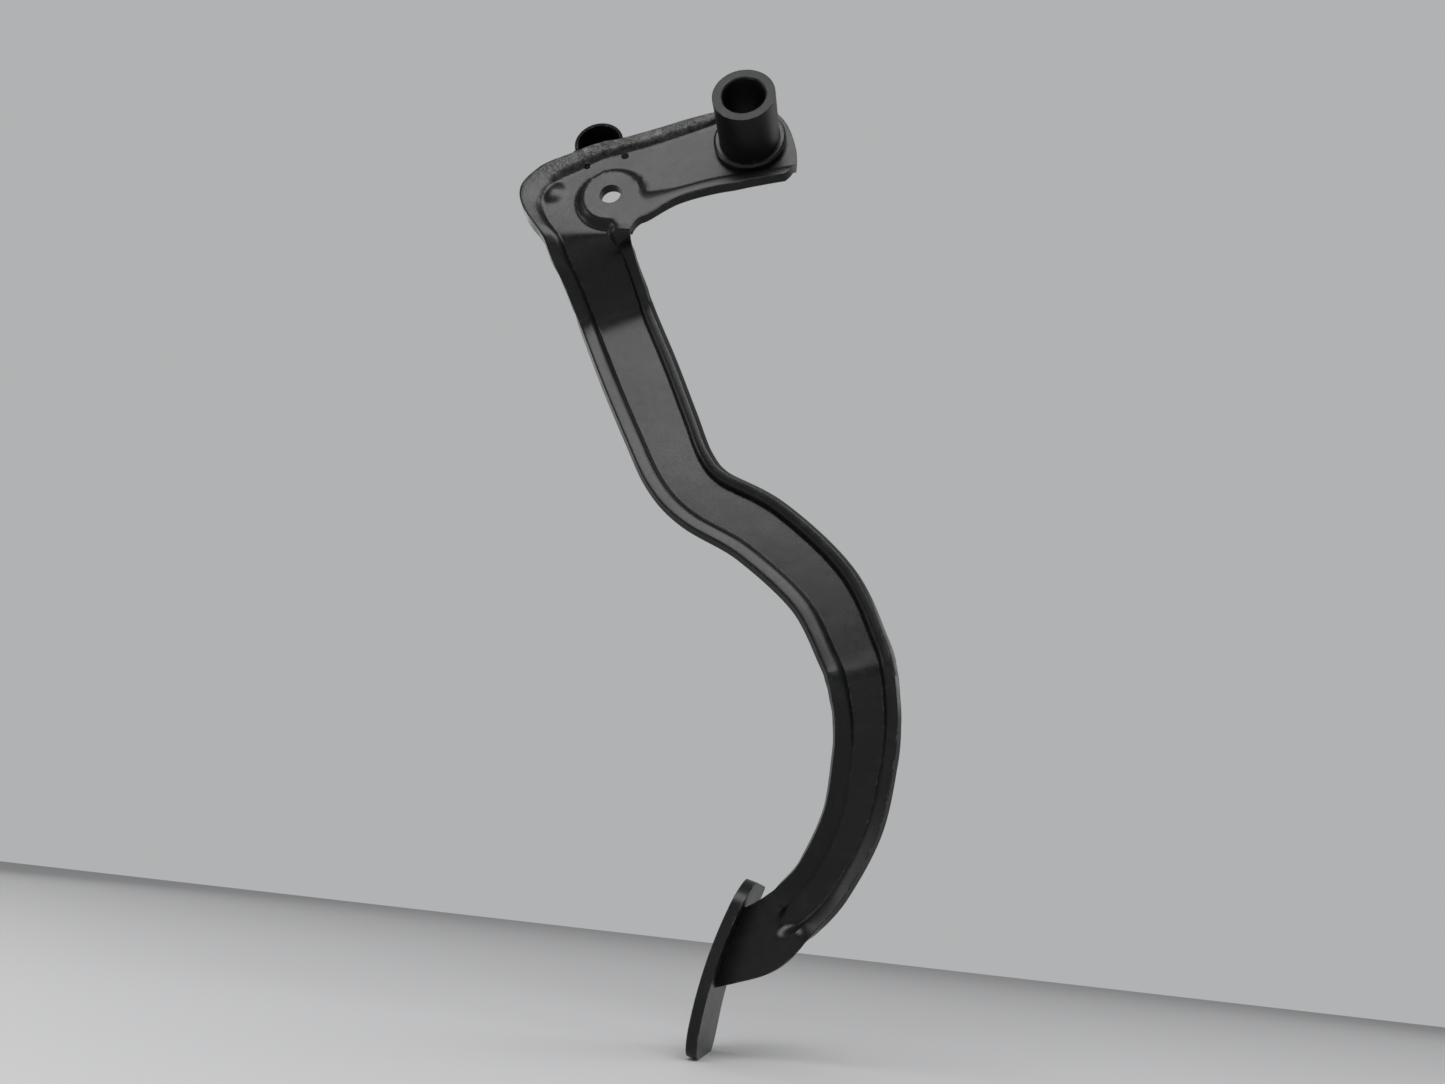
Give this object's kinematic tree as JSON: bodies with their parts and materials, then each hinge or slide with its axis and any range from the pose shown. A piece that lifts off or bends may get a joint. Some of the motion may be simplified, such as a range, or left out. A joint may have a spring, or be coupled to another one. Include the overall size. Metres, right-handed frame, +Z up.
{
  "type": "clutch pedal",
  "caption": "Pressed steel clutch pedal lever with a grooved, doubly bent arm, a welded pivot tube, a pushrod eye, a rear spring seat and a curved pad plate.",
  "frame": {"origin": "on the pivot axis, in the front face of the head's sunk panel", "axes": "+Y along the pivot axis away from the viewer of the picture, +Z up from the pad to the pivot, +X to the right, away from the driver"},
  "size_m": [0.1482, 0.1145, 0.3245],
  "materials": {
    "lever_paint": "satin black stoving paint",
    "tube_paint": "satin black stoving paint",
    "collar_paint": "satin black stoving paint",
    "weld_paint": "satin black stoving paint over a weld bead",
    "seat_paint": "satin black stoving paint",
    "pad_paint": "satin black stoving paint"
  },
  "bodies": {
    "root": {"lever": "lever_paint", "pivot_tube": "tube_paint", "tube_collar": "collar_paint", "tube_weld": "weld_paint", "spring_seat": "seat_paint", "pad_plate": "pad_paint"}
  },
  "joints": []
}
